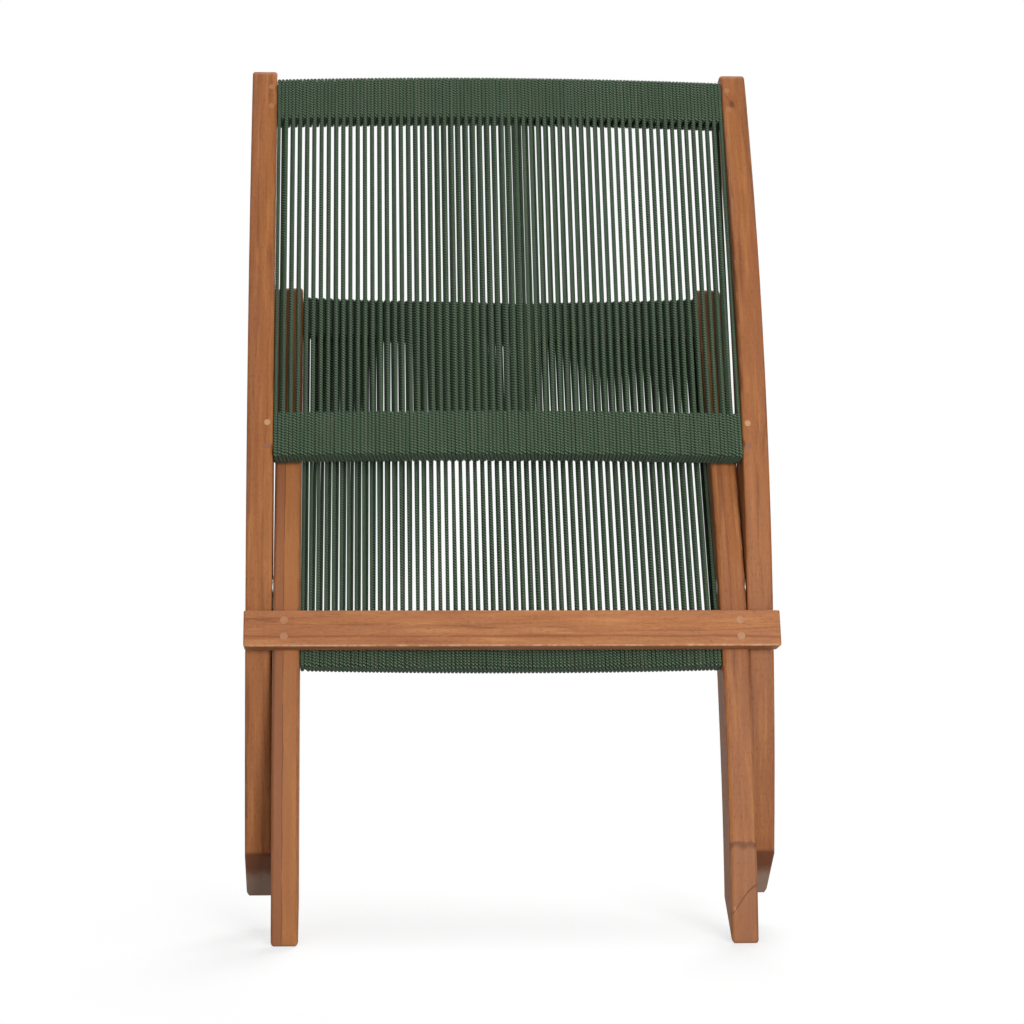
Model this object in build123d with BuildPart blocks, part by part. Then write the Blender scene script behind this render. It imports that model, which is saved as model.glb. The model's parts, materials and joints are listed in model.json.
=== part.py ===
from build123d import *
from math import asin, cos, degrees, radians, sin, sqrt
import os

os.makedirs("parts", exist_ok=True)

# A folding lounge chair of two crossed wooden frames, in millimetres and degrees.
# It stands folded: X runs across the chair, +Y to the sitter's side, +Z up the folded frames.

# Frame: rails of both pairs are sawn from the same stock
frame_width = 560.0  # over the two back rails
rail_width = 28.0
rail_depth = 38.0
rail_ease = 3.0  # rounding of the long edges
rail_end_round = 9.0  # rounding of the free ends, seen from the side
foot_spare = 152.0  # rail beyond the foot, before the foot is cut
foot_ease = 1.5  # chamfer round the foot cut

# Curves of the rails' centre lines, measured along the rail from the pivot
back_curve = 2100.0
back_lean = 5.0  # from upright at the pivot, folded
back_reach = 596.5
seat_curve = 1750.0
seat_lean = 15.6
seat_reach = 356.5

# Use: how far each frame swings open, and how high the pivot then stands
back_swing = 51.0
seat_swing = 46.0
pivot_rise = 195.3

# Slats, bowed for comfort and tenoned into the rails
slat_height = 40.0
slat_thickness = 15.0
slat_round = 6.0
back_bow = 8.0
seat_bow = -10.0
back_top_at = 560.0
back_lower_at = 163.0
back_band_recess = 0.0  # wound slat below the rail's face
seat_front_at = 322.0
seat_rear_at = -64.5
seat_band_recess = 6.0
tenon_length = 12.0
tenon_height = 30.0
tenon_thickness = 9.0
tenon_clearance = 0.1

# Cord: two layers of runs between the slats, and packed wraps on each slat
cord_diameter = 4.0
cord_groove = 1.1  # depth of the furrow between two wraps
cord_sides = 6
band_end_gap = 0.6  # bare slat beside each rail
cord_clearance = 0.1
edge_wrap_slope = 40.0  # wraps turning over the slat's edges
edge_wrap_inset = 1.65  # where they start, below the ridges

# Pegs through the tenons
peg_diameter = 6.5
peg_spacing = 25.0
peg_past_tenon = 3.0
peg_clearance = 0.05
drill_overrun = 1.0  # holes start this far outside a curved face

# Cross bar: stops the back rails when the chair is open
bar_height = 38.0
bar_thickness = 22.0
bar_ease = 2.0
stop_clearance = 0.4
screw_spacing = 17.0
screw_inset = 12.5  # from the seat rail's outer face
screw_diameter = 4.5
screw_head_diameter = 7.5
screw_head_height = 2.5
screw_in_rail = 24.0
screw_clearance = 0.05
plug_diameter = 8.0
plug_length = 7.0
plug_clearance = 0.05

# Pivots: a bolt through each back rail into a barrel nut in the seat rail
bolt_diameter = 8.0
bolt_head_diameter = 14.0
bolt_head_height = 4.0
bolt_head_sunk = 0.5
socket_across_flats = 5.0
socket_depth = 2.5
head_washer_diameter = 17.0
head_washer_thickness = 1.0
spacer_diameter = 26.0
spacer_thickness = 1.4
spacer_clearance = 0.05
barrel_diameter = 11.0
barrel_head_diameter = 17.0
barrel_head_height = 3.0
barrel_head_sunk = 0.5
nut_bottom = 3.0  # solid end of the barrel nut
thread_clearance = 0.05
running_clearance = 0.05
recess_clearance = 0.25

# Widths that follow from the stock and the washers
half_depth = rail_depth / 2
back_inner = frame_width / 2 - rail_width
seat_outer = back_inner - spacer_thickness - 2 * spacer_clearance
seat_inner = seat_outer - rail_width


def foot_angle(curve, lean, swing, out):
    """Angle round the rail's curve where the floor in use cuts the line at this distance out."""
    return asin((curve * sin(radians(lean + swing)) - pivot_rise) / (curve + out)) - radians(swing)


# Pivot's place, with the folded chair standing on its seat rails over the middle of its depth
tip_angle = foot_angle(seat_curve, seat_lean, seat_swing, half_depth)
tip_y = seat_curve * cos(radians(seat_lean)) - (seat_curve + half_depth) * cos(tip_angle)
tip_z = (seat_curve + half_depth) * sin(tip_angle) - seat_curve * sin(radians(seat_lean))
end_curve = back_curve - half_depth + rail_end_round
end_angle = radians(back_lean) + back_reach / back_curve - asin(rail_end_round / end_curve)
crown_y = back_curve * cos(radians(back_lean)) - end_curve * cos(end_angle) + rail_end_round
pivot_y = -(tip_y + crown_y) / 2
pivot_z = -tip_z - foot_ease * sin(radians(seat_swing))


def rail_point(curve, lean, along, out):
    """Point beside a rail: along its centre line from the pivot, and out to its rear face."""
    angle = radians(lean) + along / curve
    y = curve * cos(radians(lean)) - (curve + out) * cos(angle)
    z = (curve + out) * sin(angle) - curve * sin(radians(lean))
    return Vector(0, pivot_y + y, pivot_z + z)


def facing(curve, lean, along, out):
    """Plane on a rail, X across the chair, Y up the rail and Z out of its rear face."""
    angle = radians(lean) + along / curve
    return Plane(rail_point(curve, lean, along, out), x_dir=(1, 0, 0), z_dir=(0, -cos(angle), sin(angle)))


def panel_plane(curve, lean, upper_at, lower_at, out):
    """Middle plane of a cord panel, through the middles of its two slats."""
    middle = facing(curve, lean, (upper_at + lower_at) / 2, out)
    upper = rail_point(curve, lean, upper_at, out)
    lower = rail_point(curve, lean, lower_at, out)
    return Plane((upper + lower) / 2, x_dir=middle.x_dir, z_dir=middle.z_dir)


def across(panel, height):
    """Plane square to a panel's cords at this height: X across the chair, Y out of the panel."""
    return Plane(panel.from_local_coords(Vector(0, height, 0)), x_dir=panel.x_dir, z_dir=-panel.y_dir)


def bow_at(x, half_span, bow):
    """How far a bowed slat stands off its chord at this place across the chair."""
    radius = (half_span**2 + bow**2) / (2 * abs(bow))
    rise = sqrt(radius**2 - x**2) - radius + abs(bow)
    return rise if bow > 0 else -rise


wound_half = slat_thickness / 2 + cord_diameter
edge_wrap_half = wound_half - edge_wrap_inset
back_out = half_depth - back_band_recess - wound_half
seat_out = half_depth - seat_band_recess - wound_half
back_panel = panel_plane(back_curve, back_lean, back_top_at, back_lower_at, back_out)
seat_panel = panel_plane(seat_curve, seat_lean, seat_front_at, seat_rear_at, seat_out)
back_half = (back_curve + back_out) * sin((back_top_at - back_lower_at) / (2 * back_curve))
seat_half = (seat_curve + seat_out) * sin((seat_front_at - seat_rear_at) / (2 * seat_curve))

# Pegs enter the back rails from behind and the seat rails from below
back_peg_length = half_depth - back_out + tenon_thickness / 2 + peg_past_tenon
seat_peg_length = half_depth + seat_out + tenon_thickness / 2 + peg_past_tenon
back_peg_planes = [
    -facing(back_curve, back_lean, at + step, half_depth)
    for at in (back_top_at, back_lower_at)
    for step in (-peg_spacing / 2, peg_spacing / 2)
]
seat_peg_planes = [
    facing(seat_curve, seat_lean, at + step, -half_depth)
    for at in (seat_front_at, seat_rear_at)
    for step in (-peg_spacing / 2, peg_spacing / 2)
]


# Rails
def curved_rail(inner, curve, lean, reach, swing_side, swing):
    """Right-hand rail of a pair: sawn to its curve, rounded at its free end, foot cut to the floor in use."""
    centre = (pivot_y + curve * cos(radians(lean)), pivot_z - curve * sin(radians(lean)))
    overrun = pivot_rise / cos(radians(swing)) + foot_spare
    start = 180 - lean - degrees(reach / curve)
    sweep_angle = degrees((reach + overrun) / curve)
    with BuildPart() as rail:
        with BuildSketch(Plane.YZ.offset(inner)) as side:
            with BuildLine():
                rear = CenterArc(centre, curve + half_depth, start, sweep_angle)
                front = CenterArc(centre, curve - half_depth, start, sweep_angle)
                Line(rear @ 0, front @ 0)
                Line(rear @ 1, front @ 1)
            make_face()
            fillet(side.vertices().sort_by(Axis.Y)[-2:], rail_end_round)
        extrude(amount=rail_width)
        spare_end = rail.faces().sort_by(Axis.Z)[0]
        sides = rail.faces().filter_by(Axis.X)
        fillet(sides.edges() - spare_end.edges(), rail_ease)
        floor_normal = Vector(0, swing_side * sin(radians(swing)), cos(radians(swing)))
        pivot = Vector(0, pivot_y, pivot_z)
        split(bisect_by=Plane(pivot - floor_normal * pivot_rise, z_dir=floor_normal), keep=Keep.TOP)
        foot = rail.faces().filter_by(GeomType.PLANE).sort_by(Axis.Z)[0]
        chamfer(foot.edges(), foot_ease)
    return rail


def tenon_set(panel, heights, shoulder_x, side, margin):
    """Tenons on one end of a panel's slats; with a margin, the sockets that take them."""
    with BuildPart() as tenons:
        for height in heights:
            shoulder = panel.from_local_coords(Vector(side * shoulder_x, height, 0))
            with BuildSketch(Plane(shoulder, x_dir=panel.y_dir, z_dir=(side, 0, 0))):
                Rectangle(tenon_height + 2 * margin, tenon_thickness + 2 * margin)
            extrude(amount=tenon_length + margin)
    return tenons


def peg_set(planes, x, length):
    """Pegs of one side, flush with the rail's face."""
    with BuildPart() as pegs:
        for plane in planes:
            with BuildSketch(plane):
                with Locations((x, 0)):
                    Circle(peg_diameter / 2)
            extrude(amount=length)
    return pegs


def peg_drill(planes, x, length):
    """Holes that take the pegs of one side."""
    with BuildPart() as drill:
        for plane in planes:
            with BuildSketch(plane.offset(-drill_overrun)):
                with Locations((x, 0)):
                    Circle(peg_diameter / 2 + peg_clearance)
            extrude(amount=length + drill_overrun)
    return drill


back_peg_x = back_inner + tenon_length / 2
seat_peg_x = seat_inner + tenon_length / 2
head_recess_depth = bolt_head_height + head_washer_thickness + bolt_head_sunk
barrel_recess_depth = barrel_head_height + barrel_head_sunk
pivot_plane = Plane((0, pivot_y, pivot_z), x_dir=(0, 1, 0), z_dir=(1, 0, 0))

back_sockets = tenon_set(back_panel, (-back_half, back_half), back_inner, 1, tenon_clearance)
seat_sockets = tenon_set(seat_panel, (-seat_half, seat_half), seat_inner, 1, tenon_clearance)

with BuildPart() as back_rail_right:
    add(curved_rail(back_inner, back_curve, back_lean, back_reach, 1, back_swing).part)
    add(back_sockets.part, mode=Mode.SUBTRACT)
    add(peg_drill(back_peg_planes, back_peg_x, back_peg_length).part, mode=Mode.SUBTRACT)
    with BuildSketch(pivot_plane.offset(back_inner)):
        Circle(bolt_diameter / 2 + running_clearance)
    extrude(amount=rail_width, mode=Mode.SUBTRACT)
    with BuildSketch(pivot_plane.offset(frame_width / 2 - head_recess_depth)):
        Circle(head_washer_diameter / 2 + recess_clearance)
    extrude(amount=head_recess_depth, mode=Mode.SUBTRACT)

with BuildPart() as seat_rail_right:
    add(curved_rail(seat_inner, seat_curve, seat_lean, seat_reach, -1, seat_swing).part)
    add(seat_sockets.part, mode=Mode.SUBTRACT)
    add(peg_drill(seat_peg_planes, seat_peg_x, seat_peg_length).part, mode=Mode.SUBTRACT)
    with BuildSketch(pivot_plane.offset(seat_inner)):
        Circle(barrel_diameter / 2 + running_clearance)
    extrude(amount=rail_width, mode=Mode.SUBTRACT)
    with BuildSketch(pivot_plane.offset(seat_inner)):
        Circle(barrel_head_diameter / 2 + recess_clearance)
    extrude(amount=barrel_recess_depth, mode=Mode.SUBTRACT)

# Cross bar's place: its top front edge meets the back rails' rear faces when the chair is open
open_angle = radians(seat_lean - back_lean + back_swing + seat_swing)
bar_front = half_depth + bar_thickness
bar_drop = (half_depth + bar_ease - (bar_front - bar_ease) * cos(open_angle)) / sin(open_angle) - bar_ease
bar_at = -(bar_drop + stop_clearance + bar_height / 2)
bar_seat = facing(seat_curve, seat_lean, bar_at, half_depth)
screw_x = seat_outer - screw_inset
screw_points = [(screw_x, -screw_spacing / 2), (screw_x, screw_spacing / 2)]
plug_pocket = plug_length + screw_head_height

with BuildPart() as seat_rail_right_bored:
    add(seat_rail_right.part)
    with BuildSketch(bar_seat.offset(drill_overrun)):
        with Locations(screw_points):
            Circle(screw_diameter / 2 + screw_clearance)
    extrude(amount=-screw_in_rail - drill_overrun, mode=Mode.SUBTRACT)


# Slats
def bowed_strip(plane, half_width, half_span, bow, half_thickness):
    """Face of a bowed strip seen along the cords, on the bow of a slat of this half span."""
    end = bow_at(half_width, half_span, bow)
    with BuildSketch(plane) as strip:
        with BuildLine():
            for out in (half_thickness, -half_thickness):
                ThreePointArc((-half_width, end + out), (0, bow + out), (half_width, end + out))
            for x in (-half_width, half_width):
                Line((x, end - half_thickness), (x, end + half_thickness))
        make_face()
    return strip.sketch


def bowed_slat(panel, height, half_span, bow, margin):
    """Slat between two rails with rounded edges; the margin makes it larger all round."""
    with BuildPart() as slat:
        strip = bowed_strip(across(panel, height), half_span, half_span, bow, slat_thickness / 2 + margin)
        extrude(strip, amount=slat_height / 2 + margin, both=True)
        long_edges = slat.edges().filter_by(GeomType.CIRCLE)
        fillet(long_edges, slat_round + margin)
    return slat


def tenoned_slat(panel, height, half_span, bow, peg_planes, peg_x, peg_length):
    """Slat with a tenon on each end, drilled for its pegs."""
    with BuildPart() as slat:
        add(bowed_slat(panel, height, half_span, bow, 0).part)
        for side in (-1, 1):
            add(tenon_set(panel, (height,), half_span, side, 0).part)
            add(peg_drill(peg_planes, side * peg_x, peg_length).part, mode=Mode.SUBTRACT)
    return slat


back_slat_fit = (back_inner, back_bow, back_peg_planes, back_peg_x, back_peg_length)
seat_slat_fit = (seat_inner, seat_bow, seat_peg_planes, seat_peg_x, seat_peg_length)
back_top_slat = tenoned_slat(back_panel, back_half, *back_slat_fit)
back_lower_slat = tenoned_slat(back_panel, -back_half, *back_slat_fit)
seat_front_slat = tenoned_slat(seat_panel, seat_half, *seat_slat_fit)
seat_rear_slat = tenoned_slat(seat_panel, -seat_half, *seat_slat_fit)


# Cord panels
def wound_outline(wraps, pitch, half_span, bow):
    """Furrowed outline of the packed wraps round a bowed slat, as corner points."""
    ridge = wound_half
    furrow = wound_half - cord_groove
    points = []
    for step in range(2 * wraps + 1):
        x = (step - wraps) * pitch / 2
        points.append((x, bow_at(x, half_span, bow), ridge if step % 2 else furrow))
    rear = [(x, stand + out) for x, stand, out in points]
    front = [(x, stand - out) for x, stand, out in reversed(points)]
    return rear + front


def wound_band(panel, height, half_span, bow, wraps, pitch):
    """Packed wraps on one slat, furrowed on the flats and sloping over the slat's edges."""
    with BuildPart() as band:
        with BuildSketch(across(panel, height)):
            with BuildLine():
                Polyline(*wound_outline(wraps, pitch, half_span, bow), close=True)
            make_face()
        extrude(amount=slat_height / 2, both=True)
        strip_half = (wraps - 1) * pitch / 2
        for turn in (-1, 1):
            edge = across(panel, height + turn * slat_height / 2)
            turning = Plane(edge.origin, x_dir=edge.x_dir, z_dir=edge.z_dir * -turn)
            strip = bowed_strip(turning, strip_half, half_span, -turn * bow, edge_wrap_half)
            extrude(strip, amount=cord_diameter, taper=edge_wrap_slope)
        add(bowed_slat(panel, height, half_span, bow, cord_clearance).part, mode=Mode.SUBTRACT)
    return band


def cord_panel(panel, half, half_span, bow):
    """Cord wound round two slats: packed wraps on each, every second one running on to the other slat."""
    half_width = half_span - band_end_gap
    runs = int((2 * half_width + cord_diameter) / (2 * cord_diameter))
    wraps = 2 * runs - 1
    pitch = 2 * half_width / wraps
    run_start = half - slat_height / 2 + cord_diameter
    run_places = []
    for run in range(runs):
        x = (2 * run - runs + 1) * pitch
        stand = bow_at(x, half_span, bow)
        run_places.append((x, stand + wound_half - cord_diameter / 2))
        run_places.append((x, stand - wound_half + cord_diameter / 2))
    lower_band = wound_band(panel, -half, half_span, bow, wraps, pitch).part
    upper_band = lower_band.moved(Location(panel.y_dir * 2 * half))
    with BuildPart() as cord:
        with BuildSketch(across(panel, run_start)):
            with Locations(run_places):
                RegularPolygon(cord_diameter / 2, cord_sides)
        extrude(amount=2 * run_start)
        add([lower_band, upper_band])
    return cord


back_cord = cord_panel(back_panel, back_half, back_inner, back_bow)
seat_cord = cord_panel(seat_panel, seat_half, seat_inner, seat_bow)


# Pegs
back_pegs_right = peg_set(back_peg_planes, back_peg_x, back_peg_length)
seat_pegs_right = peg_set(seat_peg_planes, seat_peg_x, seat_peg_length)

# Cross bar, its screws and their plugs
with BuildPart() as cross_bar:
    with BuildSketch(bar_seat):
        Rectangle(frame_width, bar_height)
    extrude(amount=bar_thickness)
    front_face = cross_bar.faces().sort_by(Axis(bar_seat.origin, bar_seat.z_dir))[-1]
    end_edges = cross_bar.faces().filter_by(Axis.X).edges()
    fillet(front_face.edges().filter_by(Axis.X) + end_edges, bar_ease)
    for side in (-1, 1):
        with BuildSketch(bar_seat):
            with Locations([(side * x, y) for x, y in screw_points]):
                Circle(screw_diameter / 2 + screw_clearance)
        extrude(amount=bar_thickness, mode=Mode.SUBTRACT)
        with BuildSketch(bar_seat.offset(bar_thickness - plug_pocket)):
            with Locations([(side * x, y) for x, y in screw_points]):
                Circle(plug_diameter / 2 + plug_clearance)
        extrude(amount=plug_pocket, mode=Mode.SUBTRACT)

with BuildPart() as cross_bar_screws_right:
    with BuildSketch(bar_seat.offset(bar_thickness - plug_pocket)):
        with Locations(screw_points):
            Circle(screw_head_diameter / 2)
    extrude(amount=screw_head_height)
    with BuildSketch(bar_seat.offset(-screw_in_rail)):
        with Locations(screw_points):
            Circle(screw_diameter / 2)
    extrude(amount=screw_in_rail + bar_thickness - plug_pocket)

with BuildPart() as cross_bar_plugs_right:
    with BuildSketch(bar_seat.offset(bar_thickness - plug_length)):
        with Locations(screw_points):
            Circle(plug_diameter / 2)
    extrude(amount=plug_length)

# Pivot hardware, right-hand side
head_seat = frame_width / 2 - head_recess_depth
barrel_seat = seat_inner + barrel_recess_depth
barrel_end = seat_outer

with BuildPart() as pivot_bolt_right:
    with BuildSketch(pivot_plane.offset(head_seat + head_washer_thickness)):
        Circle(bolt_head_diameter / 2)
    extrude(amount=bolt_head_height)
    with BuildSketch(pivot_plane.offset(barrel_seat + nut_bottom)):
        Circle(bolt_diameter / 2)
    extrude(amount=head_seat + head_washer_thickness - barrel_seat - nut_bottom)
    with BuildSketch(pivot_plane.offset(head_seat + head_washer_thickness + bolt_head_height - socket_depth)):
        RegularPolygon(socket_across_flats / 2, 6, major_radius=False)
    extrude(amount=socket_depth, mode=Mode.SUBTRACT)

with BuildPart() as pivot_barrel_nut_right:
    with BuildSketch(pivot_plane.offset(barrel_seat)):
        Circle(barrel_diameter / 2)
    extrude(amount=barrel_end - barrel_seat)
    with BuildSketch(pivot_plane.offset(barrel_seat - barrel_head_height)):
        Circle(barrel_head_diameter / 2)
    extrude(amount=barrel_head_height)
    with BuildSketch(pivot_plane.offset(barrel_seat + nut_bottom)):
        Circle(bolt_diameter / 2 + thread_clearance)
    extrude(amount=barrel_end - barrel_seat, mode=Mode.SUBTRACT)

with BuildPart() as head_washer_right:
    with BuildSketch(pivot_plane.offset(head_seat)):
        Circle(head_washer_diameter / 2)
        Circle(bolt_diameter / 2 + running_clearance, mode=Mode.SUBTRACT)
    extrude(amount=head_washer_thickness)

with BuildPart() as spacer_washer_right:
    with BuildSketch(pivot_plane.offset(seat_outer + spacer_clearance)):
        Circle(spacer_diameter / 2)
        Circle(bolt_diameter / 2 + running_clearance, mode=Mode.SUBTRACT)
    extrude(amount=spacer_thickness)

with BuildPart() as pivot_head_washers:
    add(head_washer_right.part)
    mirror(about=Plane.YZ)

with BuildPart() as pivot_spacer_washers:
    add(spacer_washer_right.part)
    mirror(about=Plane.YZ)

# Every piece under its name; each pair's left-hand piece is the right-hand one mirrored
pieces = {
    "back_top_slat": back_top_slat,
    "back_lower_slat": back_lower_slat,
    "back_cord": back_cord,
    "seat_front_slat": seat_front_slat,
    "seat_rear_slat": seat_rear_slat,
    "seat_cord": seat_cord,
    "cross_bar": cross_bar,
    "pivot_head_washers": pivot_head_washers,
    "pivot_spacer_washers": pivot_spacer_washers,
}
pairs = {
    "back_rail": back_rail_right,
    "seat_rail": seat_rail_right_bored,
    "back_pegs": back_pegs_right,
    "seat_pegs": seat_pegs_right,
    "cross_bar_screws": cross_bar_screws_right,
    "cross_bar_plugs": cross_bar_plugs_right,
    "pivot_bolt": pivot_bolt_right,
    "pivot_barrel_nut": pivot_barrel_nut_right,
}
for name, right in pairs.items():
    with BuildPart() as left:
        mirror(right.part, about=Plane.YZ)
    pieces[name + "_left"] = left
    pieces[name + "_right"] = right

for name, piece in pieces.items():
    piece.part.label = name
    export_step(piece.part, f"parts/{name}.step")
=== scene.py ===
import json
from math import cos, pi, radians, sin, sqrt
from random import Random

import bpy
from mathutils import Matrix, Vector


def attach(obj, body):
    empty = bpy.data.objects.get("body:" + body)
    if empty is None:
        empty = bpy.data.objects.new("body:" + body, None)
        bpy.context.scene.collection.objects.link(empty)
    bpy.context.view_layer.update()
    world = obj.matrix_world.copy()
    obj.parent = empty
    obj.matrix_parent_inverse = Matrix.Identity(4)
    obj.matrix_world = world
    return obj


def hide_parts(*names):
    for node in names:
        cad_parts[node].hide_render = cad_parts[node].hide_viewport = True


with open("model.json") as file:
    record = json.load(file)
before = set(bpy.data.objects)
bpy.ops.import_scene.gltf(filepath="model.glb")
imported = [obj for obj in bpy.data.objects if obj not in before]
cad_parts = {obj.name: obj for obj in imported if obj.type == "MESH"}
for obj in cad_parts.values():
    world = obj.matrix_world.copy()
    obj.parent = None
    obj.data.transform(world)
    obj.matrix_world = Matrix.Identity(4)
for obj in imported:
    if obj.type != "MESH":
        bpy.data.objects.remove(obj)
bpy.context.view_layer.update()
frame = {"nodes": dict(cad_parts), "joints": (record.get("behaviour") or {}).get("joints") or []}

nodes = frame["nodes"]
pivot = Vector(frame["joints"][0]["pos_m"])


# Back rails: the two outer legs, sawn to a long curve from a reddish hardwood and oiled.
# Their upper ends carry the backrest; the feet are cut on the slant and show grey end grain.
# The grain follows the length of each rail, and the eased edges are rubbed paler.
class Shade:
    """A value in a node tree: sums and products of values add their own Math nodes."""

    def __init__(self, tree, socket=None):
        self.tree = tree
        self.socket = socket

    def make(self, kind, settings, sockets, out=0):
        """Adds a node of this kind with its settings, then the values or links of its sockets."""
        node = self.tree.nodes.new(kind)
        for name, value in settings.items():
            setattr(node, name, value)
        for name, value in sockets.items():
            if isinstance(value, Shade):
                self.tree.links.new(value.socket, node.inputs[name])
            else:
                node.inputs[name].default_value = value
        return Shade(self.tree, node.outputs[out])

    def math(self, operation, *others):
        return self.make("ShaderNodeMath", {"operation": operation}, dict(enumerate((self, *others))))

    def __add__(self, other):
        return self.math("ADD", other)

    def __sub__(self, other):
        return self.math("SUBTRACT", other)

    def __rsub__(self, other):
        return self.make("ShaderNodeMath", {"operation": "SUBTRACT"}, {0: other, 1: self})

    def __mul__(self, other):
        return self.math("MULTIPLY", other)

    def __truediv__(self, other):
        return self.math("DIVIDE", other)

    def __pow__(self, other):
        return self.math("POWER", other)

    def __abs__(self):
        return self.math("ABSOLUTE")

    __radd__ = __add__
    __rmul__ = __mul__

    def step(self, start, end):
        """Goes smoothly from 0 at start to 1 at end, whichever of them is larger."""
        sockets = {"Value": self, "From Min": start, "From Max": end}
        return self.make("ShaderNodeMapRange", {"interpolation_type": "SMOOTHSTEP"}, sockets)

    def noise(self, x, y, z, detail=2.0, rough=0.5):
        """Soft noise, one patch to each unit of these coordinates."""
        place = self.make("ShaderNodeCombineXYZ", {}, {0: x, 1: y, 2: z})
        sockets = {"Vector": place, "Scale": 1.0, "Detail": detail, "Roughness": rough}
        return self.make("ShaderNodeTexNoise", {}, sockets, "Fac")

    def blend(self, first, second):
        """Colour between two others, by this value."""
        return self.make("ShaderNodeMix", {"data_type": "RGBA"}, {0: self, 6: first, 7: second}, 2)

    def into(self, node, socket):
        self.tree.links.new(self.socket, node.inputs[socket])

    def emboss(self, surface, strength, depth):
        """Raises and sinks a surface by this value."""
        sockets = {"Strength": strength, "Distance": depth, "Height": self}
        self.make("ShaderNodeBump", {}, sockets, "Normal").into(surface, "Normal")


def new_finish(name):
    """Empty finish, with its surface shader and the piece's own x, y and z."""
    finish = bpy.data.materials.new(name)
    finish.use_nodes = True
    tree = finish.node_tree
    place = Shade(tree).make("ShaderNodeTexCoord", {}, {}, "Object")
    axes = place.make("ShaderNodeSeparateXYZ", {}, {0: place}).socket.node
    x, y, z = (Shade(tree, axes.outputs[axis]) for axis in range(3))
    return finish, tree.nodes["Principled BSDF"], x, y, z


def dress(finish, *names):
    """Gives CAD nodes this finish and no other."""
    for name in names:
        nodes[name].data.materials.clear()
        nodes[name].data.materials.append(finish)


wood_pale = (0.365, 0.150, 0.050, 1)
wood_mid = (0.285, 0.103, 0.030, 1)
wood_rose = (0.250, 0.092, 0.035, 1)
wood_red = (0.205, 0.062, 0.018, 1)
wood_dark = (0.085, 0.026, 0.009, 1)
end_grain_shade_brown = (0.130, 0.042, 0.015, 1)
wood_grey = (0.235, 0.152, 0.107, 1)
oil_gloss = 0.15


def oiled_wood(surface, across, out, along, start, pale, mid, rose):
    """Oiled hardwood: warm and rosy zones, soft figure, a few growth lines, fine fibres and short dark pores."""

    def grain(fine, short, detail, rough=0.5):
        """Noise in patches along the grain, so many to the metre across it and along it."""
        return across.noise(across * fine, out * fine, along * short + start, detail, rough)

    zone = across.noise(across * 42 + start, out * 42, along * 3 + start, 2.0)
    figure = grain(150, 11, 3.0, 0.6)
    fleck = grain(420, 190, 2.0, 0.6)
    fibre = grain(900, 60, 2.0, 0.6)
    pore = grain(1900, 170, 0.0).step(0.62, 0.76)
    phase = across * 230 + out * 170 + zone * 19 + figure * 2.5 + start
    line_sharpness = 14
    line = ((phase.math("SINE") + 1) * 0.5) ** line_sharpness
    colour = zone.step(0.36, 0.66).blend(rose, mid)
    colour = (figure.step(0.46, 0.76) * 0.75).blend(colour, pale)
    colour = (figure.step(0.48, 0.26) * 0.50).blend(colour, wood_red)
    colour = (line * figure.step(0.62, 0.40) * 0.38).blend(colour, wood_dark)
    colour = (fleck.step(0.56, 0.80) * 0.40).blend(colour, pale)
    colour = (fibre.step(0.58, 0.32) * 0.26).blend(colour, wood_red)
    colour = (pore * 0.36).blend(colour, wood_dark)
    (0.44 + figure * 0.14 + pore * 0.2).into(surface, "Roughness")
    (fibre * 0.5 + figure * 0.4 - pore * 0.7 - line * 0.3).emboss(surface, 0.20, 0.0004)
    surface.inputs["Specular IOR Level"].default_value = oil_gloss
    return colour


def rail_axes(x, y, z, curve, lean):
    """Out of the rail's curve and along it, from its own coordinates."""
    aft = pivot.y + curve * cos(lean) - y
    rise = z - (pivot.z - curve * sin(lean))
    out = (aft * aft + rise * rise).math("SQRT") - curve
    along = (rise.math("ARCTAN2", aft) - lean) * curve
    return out, along


def oval(across, along, place, size):
    """Squared distance from the middle of an oval spot, 1 at its rim."""
    return ((across - place[0]) / size[0]) ** 2 + ((along - place[1]) / size[1]) ** 2


back_curve = 2.1
back_lean = radians(5)
back_swing = radians(51)
pivot_rise = 0.1953
rail_half_width = 0.014
rail_half_depth = 0.019
eased_side = 0.0028
eased_face = 0.0030
eased_corner = 0.0002
foot_darkening_height = 0.045


def rail_finish(name, middle, curve, lean, swing, start):
    """Oiled wood along a curved rail, with rubbed edges and a grey, open foot."""
    finish, surface, x, y, z = new_finish(name)
    out, along = rail_axes(x, y, z, curve, lean)
    across = x - middle
    colour = oiled_wood(surface, across, out, along, start, wood_pale, wood_mid, wood_rose)
    near_side = abs(across).step(rail_half_width - eased_side, rail_half_width - eased_corner)
    near_face = abs(out).step(rail_half_depth - eased_face, rail_half_depth - eased_corner)
    wear_and_highlight_patches = x.noise(across * 90, out * 90, along * 45 + start, 3.0, 0.65)
    colour = (near_side * near_face * wear_and_highlight_patches.step(0.35, 0.65) * 0.55).blend(colour, wood_pale)
    above_foot = (y - pivot.y) * sin(swing) + (z - pivot.z) * cos(swing) + pivot_rise
    end_grain = above_foot.step(0.0030, 0.0006)
    # The wood turns darker red in patches towards the foot, up to a set height above it.
    darker_near_foot = above_foot.step(foot_darkening_height, 0.0) * wear_and_highlight_patches.step(0.3, 0.7) * 0.45
    # Painted shade: the end grain is painted dark brown along the rail's convex face and grey elsewhere.
    worn = (out + wear_and_highlight_patches * 0.010).step(0.013, 0.001)
    colour = darker_near_foot.blend(colour, wood_red)
    colour = end_grain.blend(colour, worn.blend(end_grain_shade_brown, wood_grey))
    return finish, surface, colour, across, out, along


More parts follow.
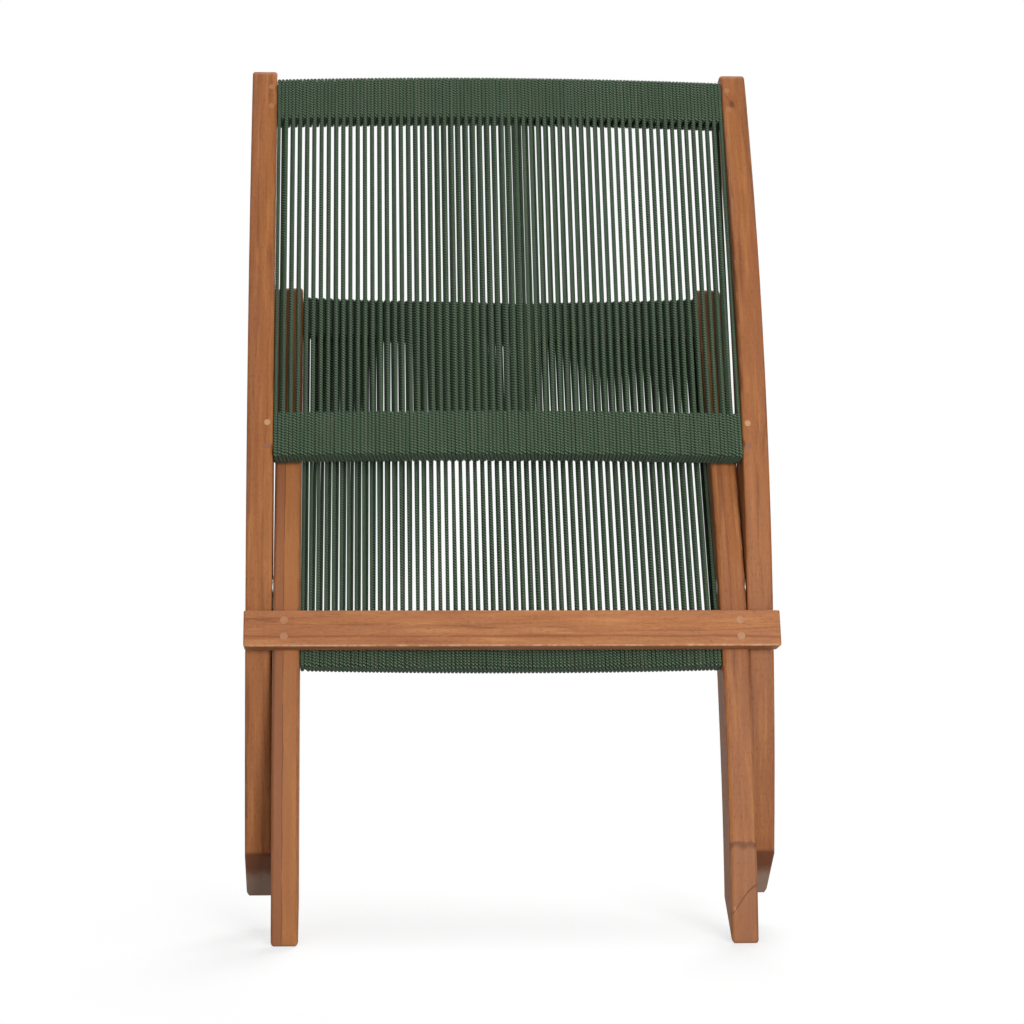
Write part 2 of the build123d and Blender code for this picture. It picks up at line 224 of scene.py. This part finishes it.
for name, middle, start in (("back_rail_left", -0.266, 3.1), ("back_rail_right", 0.266, 17.4)):
    finish, surface, colour, across, out, along = rail_finish(name, middle, back_curve, back_lean, back_swing, start)
    if name == "back_rail_right":
        knot = oval(across, along, (-0.0035, 0.5545), (0.0030, 0.0045)).step(1.7, 0.2)
        halo = oval(across, along, (-0.0040, 0.5590), (0.0075, 0.0090))
        seam_slope = 1.6
        seam_at = 0.5500
        seam = abs(across * seam_slope + along - seam_at).step(0.0022, 0.0004) * halo.step(2.6, 0.8)
        colour = (halo.step(1.8, 0.1) * 0.45).blend(colour, wood_red)
        colour = (knot * 0.75).math("MAXIMUM", seam * 0.45).blend(colour, wood_dark)
    colour.into(surface, "Base Color")
    dress(finish, name)


# Back slats: two bowed slats of the same hardwood, tenoned into the back rails.
# The cord hides them, but for a strip at each end and the fine gaps between its wraps.
slat_finish, surface, x, y, z = new_finish("slat_wood")
colour = oiled_wood(surface, z, y, x, 41.7, wood_pale, wood_mid, wood_rose)
colour.into(surface, "Base Color")
dress(slat_finish, "back_top_slat", "back_lower_slat")


# Back cord: one dark green braided cord, wound tight round both slats from end to end.
# Every second wrap runs on to the other slat, in front and behind; the wraps between stay on
# one slat, so the cord lies packed on the slats and open between them.
cord = 0.004
cord_sides = 10
cord_end_gap = 0.0006
cord_unevenness = 0.0002
braid_length = 0.0031
slat_half_height = 0.020
slat_half_thickness = 0.0075
hand = Random(11)

cord_furrow_shade = (0.008, 0.016, 0.010, 1)
cord_green = (0.060, 0.100, 0.056, 1)
cord_crest_highlight = (0.270, 0.350, 0.245, 1)
cord_brown = (0.082, 0.086, 0.054, 1)
cord_finish, surface, x, y, z = new_finish("braided_green_cord")
turn = x.make("ShaderNodeAttribute", {"attribute_name": "turn"}, {}, "Vector")
parts = turn.make("ShaderNodeSeparateXYZ", {}, {0: turn}).socket.node
turn_x, turn_y = (Shade(turn.tree, parts.outputs[axis]) for axis in range(2))
along = x.make("ShaderNodeAttribute", {"attribute_name": "along"}, {}, "Fac")
angle = turn_y.math("ARCTAN2", turn_x)
twist = along * (2 * pi / braid_length)
plait = (twist + angle * 2).math("COSINE") * 0.6 + (twist - angle * 4).math("COSINE") * 0.4
yarn = x.noise(along * 700, angle * 2, 0.0, 2.0, 0.6)
stained = x.noise(x * 240, y * 20, z * 9, 2.0, 0.6)
highlight_strength = x.noise(x * 22, y * 22, z * 14, 2.0, 0.5)
# Painted shade and highlight: the braid's furrows are painted near-black and its crests pale, over the cord's own
# green; the brown patches are stains.
colour = plait.step(-0.55, 0.45).blend(cord_furrow_shade, cord_green)
colour = (stained.step(0.52, 0.75) * 0.4).blend(colour, cord_brown)
colour = (plait.step(0.25, 0.90) * yarn.step(0.30, 0.65) * (0.45 + highlight_strength * 0.6)).blend(colour, cord_crest_highlight)
colour.into(surface, "Base Color")
(0.72 + yarn * 0.16).into(surface, "Roughness")
(plait * 0.5 + yarn * 0.3).emboss(surface, 0.6, 0.0005)
surface.inputs["Specular IOR Level"].default_value = 0.08
surface.inputs["Sheen Weight"].default_value = 0.04

tube = bpy.data.node_groups.new("cord_tube", "GeometryNodeTree")
tube.interface.new_socket("Path", in_out="INPUT", socket_type="NodeSocketGeometry")
thickness = tube.interface.new_socket("Cord diameter", in_out="INPUT", socket_type="NodeSocketFloat")
sides = tube.interface.new_socket("Sides", in_out="INPUT", socket_type="NodeSocketInt")
tube.interface.new_socket("Cord", in_out="OUTPUT", socket_type="NodeSocketGeometry")
given = tube.nodes.new("NodeGroupInput").outputs
path, diameter, side_count = (Shade(tube, given[name]) for name in ("Path", "Cord diameter", "Sides"))
ring = path.make("GeometryNodeCurvePrimitiveCircle", {"mode": "RADIUS"},
                 {"Resolution": side_count, "Radius": diameter * 0.5})
place = path.make("GeometryNodeInputPosition", {}, {})
ring = ring.make("GeometryNodeStoreNamedAttribute", {"data_type": "FLOAT_VECTOR", "domain": "POINT"},
                 {"Geometry": ring, "Name": "turn", "Value": place})
length_so_far = path.make("GeometryNodeSplineParameter", {}, {}, "Length")
path = path.make("GeometryNodeStoreNamedAttribute", {"data_type": "FLOAT", "domain": "POINT"},
                 {"Geometry": path, "Name": "along", "Value": length_so_far})
skin = path.make("GeometryNodeCurveToMesh", {}, {"Curve": path, "Profile Curve": ring, "Fill Caps": True})
smooth = skin.make("GeometryNodeSetShadeSmooth", {}, {"Geometry": skin, "Shade Smooth": True})
whole = smooth.make("GeometryNodeRealizeInstances", {}, {"Geometry": smooth})
coloured = whole.make("GeometryNodeSetMaterial", {}, {"Geometry": whole, "Material": cord_finish})
coloured.into(tube.nodes.new("NodeGroupOutput"), "Cord")


def wound_cord(name, curve, lean, upper_at, lower_at, out_by, half_span, bow, sag, first_far, far_upper, far_lower):
    """Winds the cord round the two slats of a panel and turns it into one mesh.

    The slats lie at upper_at and lower_at along the rails from the pivot, and out_by off the rails'
    middle line. The far tables give, by place across the chair, how far sideways the cord lies on the
    sitter's side of each slat.
    """
    tilt = lean + (upper_at + lower_at) / 2 / curve
    up = Vector((0, sin(tilt), cos(tilt)))
    rear = Vector((0, -cos(tilt), sin(tilt)))
    centre = pivot + Vector((0, curve * cos(lean), -curve * sin(lean)))
    half_angle = (upper_at - lower_at) / 2 / curve
    half = (curve + out_by) * sin(half_angle)
    middle = centre + rear * (curve + out_by) * cos(half_angle)
    bow_radius = (half_span**2 + bow**2) / (2 * abs(bow))
    reach = slat_half_height + cord / 2
    stand = slat_half_thickness + cord / 2
    turn_in = 0.0045
    half_width = half_span - cord_end_gap
    runs = int((2 * half_width + cord) / (2 * cord))
    pitch = 2 * half_width / (2 * runs - 1)
    end = half_width - cord / 2

    def spot(x, height, out):
        rise = sqrt(bow_radius**2 - x**2) - bow_radius + abs(bow)
        return middle + Vector((x, 0, 0)) + up * height + rear * (out + (rise if bow > 0 else -rise))

    def rear_x(count):
        return (count - runs + 1) * pitch

    def far_x(count, offsets):
        x = rear_x(count)
        for (before, offset), (after, next_offset) in zip(offsets, offsets[1:]):
            if x <= after:
                break
        x += offset + (next_offset - offset) * (x - before) / (after - before)
        return max(-end, min(end, x))

    def over(height, x_far, x_rear):
        return [spot(x_far, height + reach - turn_in, -stand), spot(x_far, height + reach, -stand),
                spot(x_far, height + reach, turn_in - stand), spot(x_rear, height + reach, stand - turn_in),
                spot(x_rear, height + reach, stand), spot(x_rear, height + reach - turn_in, stand)]

    def under(height, x_rear, x_far):
        rear_edge = height - reach - sag / 2
        far_edge = height - reach - sag
        return [spot(x_rear, rear_edge + turn_in, stand), spot(x_rear, rear_edge, stand),
                spot(x_rear, rear_edge, stand - turn_in), spot(x_far, far_edge, turn_in - stand),
                spot(x_far, far_edge, -stand), spot(x_far, far_edge + turn_in, -stand)]

    running = [spot(first_far, -half - reach + turn_in, -stand)]
    splines = []
    for run in range(runs):
        count = 2 * run
        x_run = rear_x(count) + hand.uniform(-cord_unevenness, cord_unevenness)
        x_low = x_run + hand.uniform(-cord_unevenness, cord_unevenness)
        running += over(half, far_x(count, far_upper) if run else first_far, x_run)
        running += under(-half, x_low, far_x(count + 1, far_lower))
        if run < runs - 1:
            x_wrap = rear_x(count + 1)
            running += over(-half, far_x(count + 1, far_lower), x_wrap)
            running += under(-half, x_wrap, far_x(count + 2, far_lower))
            x_loop = far_x(count + 1, far_upper)
            splines.append((over(half, x_loop, x_wrap) + under(half, x_wrap, x_loop), True))
    running.append(spot(end, half + reach - turn_in, -stand))
    splines.append((running, False))
    for height in (-half, half):
        for x_end in (-end, end):
            splines.append((over(height, x_end, x_end) + under(height, x_end, x_end), True))

    line = bpy.data.curves.new(name + "_path", "CURVE")
    line.dimensions = "3D"
    for points, closed in splines:
        spline = line.splines.new("NURBS")
        spline.points.add(len(points) - 1)
        for point, place in zip(spline.points, points):
            point.co = (*place, 1)
        spline.order_u = 3
        spline.resolution_u = 4
        spline.use_cyclic_u = closed
        spline.use_endpoint_u = not closed
    path = bpy.data.objects.new(name + "_path", line)
    bpy.context.scene.collection.objects.link(path)
    modifier = path.modifiers.new("tube", "NODES")
    modifier.node_group = tube
    modifier[thickness.identifier] = cord
    modifier[sides.identifier] = cord_sides
    depsgraph = bpy.context.evaluated_depsgraph_get()
    mesh = bpy.data.meshes.new_from_object(path.evaluated_get(depsgraph), preserve_all_data_layers=True,
                                           depsgraph=depsgraph)
    bpy.data.objects.remove(path)
    mesh.name = name
    wound = bpy.data.objects.new(name, mesh)
    bpy.context.scene.collection.objects.link(wound)
    return wound


back_far_upper = ((-0.252, -0.0023), (-0.170, -0.0009), (-0.100, -0.0006), (-0.050, -0.0014), (0.000, -0.0007),
                  (0.050, -0.0040), (0.100, -0.0039), (0.170, -0.0053), (0.252, -0.0047))
back_far_lower = (*back_far_upper[:-1], (0.236, -0.0053), (0.252, -0.0085))
back_winding = wound_cord("back_winding", back_curve, back_lean, upper_at=0.560, lower_at=0.163, out_by=0.0075,
                          half_span=0.252, bow=0.008, sag=0.004, first_far=-0.2454,
                          far_upper=back_far_upper, far_lower=back_far_lower)
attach(back_winding, "back_frame")
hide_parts("back_cord")


# Back pegs: plain hardwood pegs driven through the rails and tenons and planed flush.
# Their end grain is darker on the low pegs and paler on the next ones up; the top pegs match the rail.
peg_dark = (0.185, 0.066, 0.028, 1)
peg_tan = (0.400, 0.205, 0.092, 1)
peg_finish, surface, x, y, z = new_finish("peg_wood")
spots = x.noise(x * 900, y * 900, z * 900, 3.0, 0.6)
colour = z.step(0.524, 0.532).blend(peg_dark, peg_tan)
colour = z.step(0.70, 0.75).blend(colour, wood_mid)
colour = (spots.step(0.52, 0.70) * 0.4).blend(colour, wood_red)
colour.into(surface, "Base Color")
(0.55 + spots * 0.2).into(surface, "Roughness")
spots.emboss(surface, 0.2, 0.0003)
dress(peg_finish, "back_pegs_left", "back_pegs_right")


# Seat rails: the inner pair, sawn from the same boards to a tighter curve and oiled.
# The left one has a darker strip along its board; the right one a water mark and a short
# crack above its foot.
seat_curve = 1.75
seat_lean = radians(15.6)
seat_swing = radians(46)
strip_rose = (0.215, 0.082, 0.040, 1)
mark_dull = (0.240, 0.104, 0.055, 1)
mark_brown = (0.135, 0.046, 0.018, 1)
crack_brown = (0.100, 0.033, 0.012, 1)
speck_pale = (0.500, 0.340, 0.240, 1)
for name, middle, start in (("seat_rail_left", -0.2365, 29.3), ("seat_rail_right", 0.2365, 53.8)):
    finish, surface, colour, across, out, along = rail_finish(name, middle, seat_curve, seat_lean, -seat_swing, start)
    if name == "seat_rail_left":
        waver = along.noise(along * 14, 0.0, 0.0, 2.0)
        strip_edge = -0.0030
        border = across - strip_edge - (waver - 0.5) * 0.003
        strip = border.step(0.0006, -0.0006)
        seam = abs(border).step(0.0010, 0.0002)
        colour = ((1 - strip) * 0.35).blend(colour, wood_pale)
        colour = (strip * 0.65).blend(colour, strip_rose)
        colour = (seam * waver.step(0.30, 0.55) * 0.55).blend(colour, wood_dark)
    else:
        mark_at = -0.2692
        crack_bend = 0.0029
        crack_at = -0.3187
        blot = across.noise(across * 160, out * 60, along * 90, 2.0)
        mark = along - mark_at + (blot - 0.5) * 0.010
        below = mark.step(0.0018, 0.0003)
        edge = mark.step(-0.0080, -0.0020) * below
        past = across - crack_bend
        off_crack = along - crack_at - past * 0.758 - past.math("MINIMUM", 0.0) * 0.627 + (blot - 0.5) * 0.002
        crack = abs(off_crack).step(0.0019, 0.0004) * abs(across).step(0.0140, 0.0120)
        speck = oval(across, along, (-0.0105, -0.3355), (0.0013, 0.0026)).step(1.3, 0.3)
        rear = out.step(0.012, 0.016)
        colour = (below * rear * 0.45).blend(colour, mark_dull)
        colour = (edge * rear * 0.80).blend(colour, mark_brown)
        colour = (crack * rear * 0.70).blend(colour, crack_brown)
        colour = (speck * rear * 0.25).blend(colour, speck_pale)
    colour.into(surface, "Base Color")
    dress(finish, name)


# Seat slats: two slats of the same hardwood as on the back, tenoned into the seat rails.
# They bow the other way, towards the sitter, and the cord hides them in the same way.
dress(slat_finish, "seat_front_slat", "seat_rear_slat")


# Seat cord: the same green cord, wound as on the back round the narrower slats of the seat.
# On the sitter's side its runs slant a little, so they close the gaps more towards the front.
seat_far_upper = ((-0.223, 0.0046), (-0.160, 0.0050), (-0.110, 0.0047), (-0.060, 0.0023), (0.000, 0.0009),
                  (0.060, 0.0002), (0.110, 0.0008), (0.160, 0.0004), (0.223, 0.0007))
seat_far_lower = ((-0.223, 0.0021), (-0.160, 0.0024), (-0.110, 0.0006), (-0.060, 0.0002), (0.000, -0.0001),
                  (0.060, 0.0011), (0.110, 0.0017), (0.160, 0.0019), (0.223, 0.0023))
seat_winding = wound_cord("seat_winding", seat_curve, seat_lean, upper_at=0.322, lower_at=-0.0645, out_by=0.0015,
                          half_span=0.2225, bow=-0.010, sag=0.0, first_far=-0.2169,
                          far_upper=seat_far_upper, far_lower=seat_far_lower)
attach(seat_winding, "seat_frame")
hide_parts("seat_cord")


# Seat pegs: plain hardwood pegs like those of the back, driven through the seat rails and the
# tenons of the seat slats and planed flush.
dress(peg_finish, "seat_pegs_left", "seat_pegs_right")


# Cross bar: one straight hardwood bar screwed across the seat rails, with eased edges.
# It stops the back rails when the chair is open; its grain runs from side to side, with one
# long dark growth line, and its lower front edge carries a painted highlight, a pale line.
bar_pale = (0.450, 0.200, 0.078, 1)
bar_mid = (0.338, 0.130, 0.045, 1)
bar_rose = (0.300, 0.116, 0.048, 1)
bar_edge_highlight = (0.800, 0.520, 0.340, 1)
bar_middle = -0.0518
bar_half_height = 0.019
bar_face = 0.041
bar_corner = 0.0008
dark_line_at = -0.0085
faint_line_at = 0.0045
bar_finish, surface, x, y, z = new_finish("bar_wood")
out, along = rail_axes(x, y, z, seat_curve, seat_lean)
height = along - bar_middle
colour = oiled_wood(surface, height, out, x, 71.5, bar_pale, bar_mid, bar_rose)
drift = x.noise(x * 5, 0.0, 0.0, 2.0)
broken = x.noise(x * 60, height * 300, out * 300, 2.0)
dark_line = abs(height - dark_line_at + (drift - 0.5) * 0.008).step(0.0019, 0.0003)
faint_line = abs(height - faint_line_at + (drift - 0.5) * 0.016).step(0.0010, 0.0002)
colour = (dark_line * broken.step(0.20, 0.50) * 0.72).blend(colour, wood_red)
colour = (faint_line * broken.step(0.40, 0.70) * 0.35).blend(colour, wood_red)
speck = x.noise(x * 330, height * 700, out * 700, 1.0).step(0.66, 0.80)
colour = (speck * 0.45).blend(colour, bar_pale)
# Painted highlight: a pale line along the lower front edge, stronger in patches.
near_bottom = abs(height + bar_half_height - bar_corner).step(0.0016, 0.0004)
near_front = abs(out - bar_face + bar_corner).step(0.0022, 0.0006)
wear_and_highlight_patches = x.noise(x * 130, height * 90, out * 90, 2.0, 0.6)
colour = (near_bottom * near_front * (0.15 + wear_and_highlight_patches.step(0.35, 0.65) * 0.35)).blend(colour, bar_edge_highlight)
colour.into(surface, "Base Color")
dress(bar_finish, "cross_bar")


# Cross bar fixings: zinc plated wood screws, sunk into the bar and driven into the seat rails.
# Each is hidden under a plug of nearly the same wood as the bar, glued in and planed flush.
steel_dark = (0.50, 0.50, 0.49, 1)
steel_pale = (0.68, 0.68, 0.66, 1)
steel_finish, surface, x, y, z = new_finish("zinc_plated_steel")
brushed = x.noise(x * 300, y * 2600, z * 2600, 3.0, 0.6)
dull = x.noise(x * 120, y * 120, z * 120, 2.0)
colour = (brushed.step(0.3, 0.7) * 0.6).blend(steel_dark, steel_pale)
colour.into(surface, "Base Color")
(0.26 + dull * 0.25).into(surface, "Roughness")
surface.inputs["Metallic"].default_value = 1.0
brushed.emboss(surface, 0.12, 0.0002)
dress(steel_finish, "cross_bar_screws_left", "cross_bar_screws_right")

plug_brown = (0.300, 0.118, 0.044, 1)
plug_pale = (0.335, 0.150, 0.070, 1)
plug_finish, surface, x, y, z = new_finish("plug_wood")
spots = x.noise(x * 700, y * 700, z * 700, 2.0, 0.6)
patch = x.noise(x * 45, y * 45, z * 45, 1.0)
colour = patch.step(0.35, 0.65).blend(plug_brown, plug_pale)
colour = (spots.step(0.52, 0.72) * 0.35).blend(colour, wood_red)
colour.into(surface, "Base Color")
(0.50 + spots * 0.2).into(surface, "Roughness")
spots.emboss(surface, 0.2, 0.0003)
dress(plug_finish, "cross_bar_plugs_left", "cross_bar_plugs_right")


# Pivot hardware: zinc plated bolts, barrel nuts and washers on which both frames turn.
# The bolts pass through the back rails into nuts in the seat rails; spacers keep the rails apart.
dress(steel_finish, "pivot_bolt_left", "pivot_bolt_right", "pivot_barrel_nut_left", "pivot_barrel_nut_right",
      "pivot_head_washers", "pivot_spacer_washers")


# Studio: a plain pale floor that fades to white, four soft lights round the chair, and the
# camera behind the folded chair, a little to its left.
def seen_by_eye(tree):
    """1 for rays from the camera, straight, mirrored or through glass, and 0 for bounced light."""
    rays = tree.nodes.new("ShaderNodeLightPath")
    seen = Shade(tree, rays.outputs["Is Camera Ray"]) + Shade(tree, rays.outputs["Is Glossy Ray"])
    seen = seen + Shade(tree, rays.outputs["Is Transmission Ray"])
    return seen.math("MINIMUM", 1.0)


floor_reach = 6.0
floor_corners = [(-floor_reach, -floor_reach, 0), (floor_reach, -floor_reach, 0),
                 (floor_reach, floor_reach, 0), (-floor_reach, floor_reach, 0)]
floor_bounce = (0.35, 0.35, 0.35, 1)
floor_pale = (0.90, 0.90, 0.90, 1)
floor_mesh = bpy.data.meshes.new("floor")
floor_mesh.from_pydata(floor_corners, [], [(0, 1, 2, 3)])
floor = bpy.data.objects.new("floor", floor_mesh)
bpy.context.scene.collection.objects.link(floor)
floor_finish, surface, x, y, z = new_finish("pale_floor")
surface.inputs["Roughness"].default_value = 0.9
surface.inputs["Specular IOR Level"].default_value = 0.1
tree = floor_finish.node_tree
seen = seen_by_eye(tree)
seen.blend(floor_bounce, floor_pale).into(surface, "Base Color")
distance = (x * x + y * y).math("SQRT")
fade = (0.5 + 0.5 * distance.step(0.15, 0.60)) * seen
white = tree.nodes.new("ShaderNodeEmission")
white.inputs["Color"].default_value = (1, 1, 1, 1)
mix = tree.nodes.new("ShaderNodeMixShader")
fade.into(mix, 0)
tree.links.new(surface.outputs[0], mix.inputs[1])
tree.links.new(white.outputs[0], mix.inputs[2])
tree.links.new(mix.outputs[0], tree.nodes["Material Output"].inputs["Surface"])
floor_mesh.materials.append(floor_finish)

sky_light = 0.18
world = bpy.data.worlds.new("studio")
bpy.context.scene.world = world
world.use_nodes = True
background = world.node_tree.nodes["Background"]
background.inputs["Color"].default_value = (1, 1, 1, 1)
(seen_by_eye(world.node_tree) * (1 - sky_light) + sky_light).into(background, "Strength")

for name, place, aim, size, power in (
    ("key_light", (0.8, -2.6, 0.70), (0, 0, 0.40), 1.0, 64),
    ("fill_light", (-1.2, -2.4, 0.8), (0, 0, 0.35), 1.8, 15),
    ("top_light", (0.1, 0.2, 2.6), (0, 0, 0.4), 1.6, 36),
    ("front_light", (1.0, 2.5, 1.8), (0, 0, 0.4), 1.8, 75),
):
    lamp = bpy.data.lights.new(name, "AREA")
    lamp.size = size
    lamp.energy = power
    light = bpy.data.objects.new(name, lamp)
    light.location = place
    light.rotation_euler = (Vector(aim) - Vector(place)).to_track_quat("-Z", "Y").to_euler()
    bpy.context.scene.collection.objects.link(light)

lens = bpy.data.cameras.new("camera")
lens.sensor_width = 36
lens.lens = 63.0
lens.shift_x = 0.0988
lens.shift_y = 0.024
camera = bpy.data.objects.new("camera", lens)
camera.location = (-0.168, -1.946, 0.401)
camera.rotation_euler = (pi / 2 + 0.009, 0, -0.033)
bpy.context.scene.collection.objects.link(camera)
bpy.context.scene.camera = camera
bpy.context.scene.view_settings.view_transform = "Standard"
